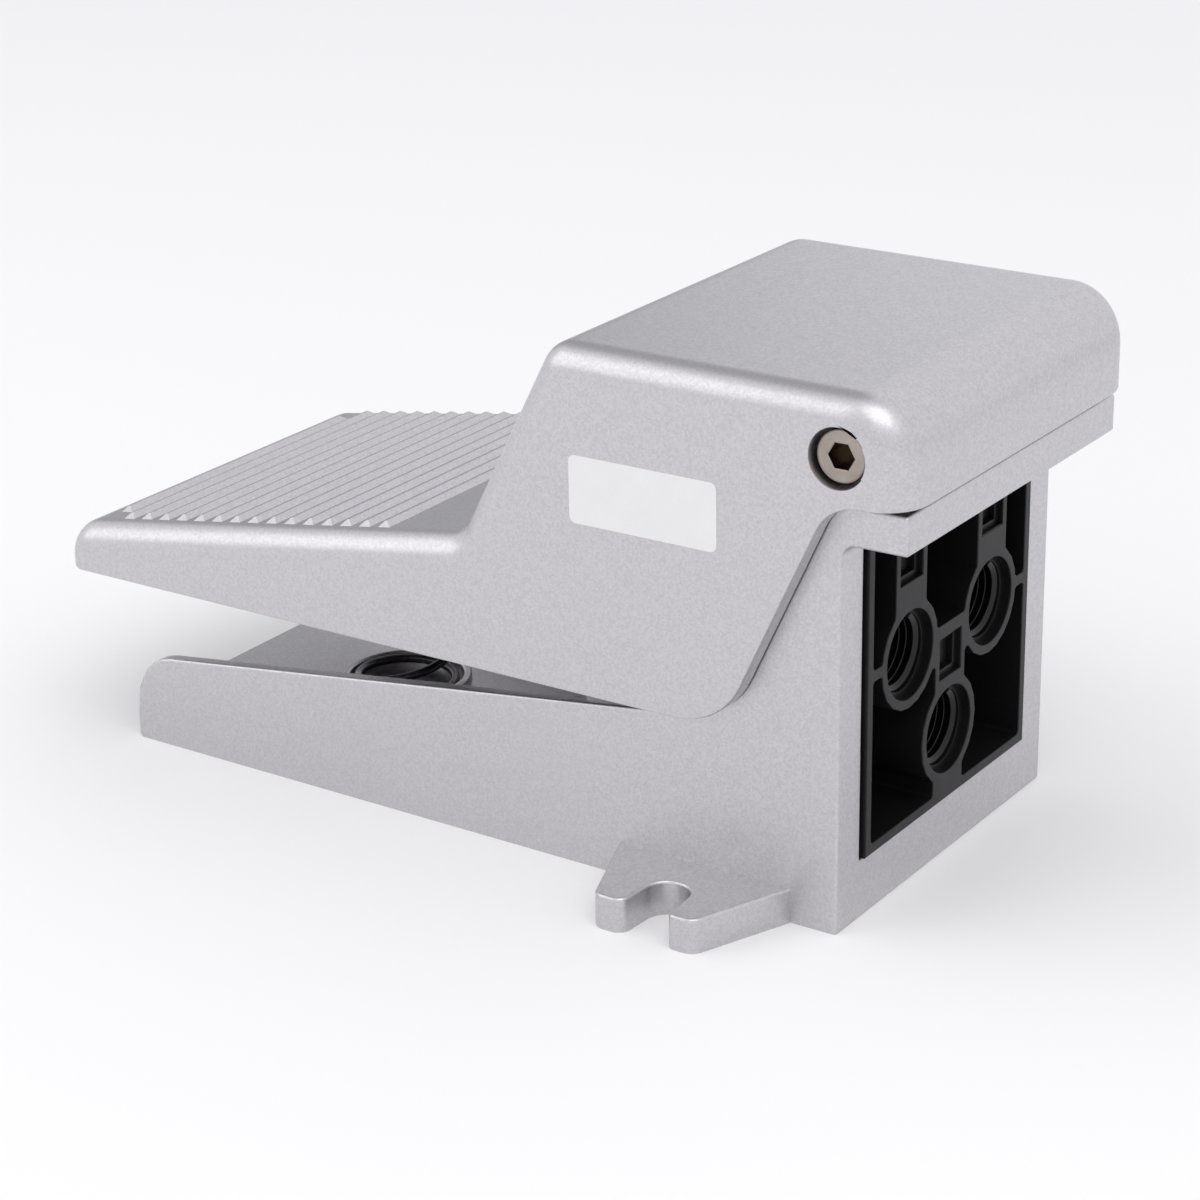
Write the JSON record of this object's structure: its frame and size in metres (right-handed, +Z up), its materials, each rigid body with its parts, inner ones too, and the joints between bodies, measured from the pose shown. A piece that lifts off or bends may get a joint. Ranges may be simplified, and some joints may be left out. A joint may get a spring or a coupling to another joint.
{
  "type": "foot pedal air valve",
  "caption": "Foot-operated air valve: a sprung die-cast pedal hinged on a die-cast base works an upright spool valve with three threaded ports.",
  "frame": {"origin": "on the bottom plane, in the middle between the two fixing notches", "axes": "+X across to the side with the near fixing tab in the picture, +Y to the ports at the rear, +Z up"},
  "size_m": [0.1082, 0.1722, 0.092],
  "materials": {
    "cast_aluminium": "die-cast and blasted, fine satin silver grain",
    "black_plastic": "moulded satin black",
    "bright_steel": "nickel-plated, turned",
    "spring_steel": "oiled dark spring wire",
    "turned_aluminium": "turned and anodised",
    "rubber": "matte black",
    "brass": "turned"
  },
  "bodies": {
    "base": {"base_housing": "cast_aluminium", "valve_body": "black_plastic", "body_screws": "bright_steel", "spool_liner": "turned_aluminium", "liner_seals": "rubber", "top_gland": "turned_aluminium", "rod_wiper": "rubber", "end_cap": "turned_aluminium", "end_cap_seal": "rubber", "end_cap_clip": "spring_steel", "gallery_plugs": "brass", "return_spring": "spring_steel", "pivot_screws": "bright_steel", "pivot_nuts": "bright_steel", "pedal_spring": "spring_steel"},
    "pedal": {"pedal_cover": "cast_aluminium", "pivot_bushes": "brass", "push_stud": "bright_steel"},
    "spool": {"spool": "turned_aluminium", "spool_seals": "rubber", "plunger_button": "bright_steel"}
  },
  "joints": [
    {"name": "pedal_hinge", "type": "hinge", "parent": "base", "child": "pedal", "pos_m": [0, 0.0262, 0.0821], "axis": [1, 0, 0], "range_deg": [0, 7], "stiffness_Nm_per_rad": 70, "springref_deg": -1.55, "deforming": ["pedal_spring"]},
    {"name": "spool_slide", "type": "slide", "parent": "base", "child": "spool", "axis": [0, 0, -1], "range_m": [0, 0.004], "deforming": ["return_spring"]}
  ],
  "couplings": [
    {"joint": "spool_slide", "follows": "pedal_hinge", "m_per_rad": 0.0322}
  ]
}
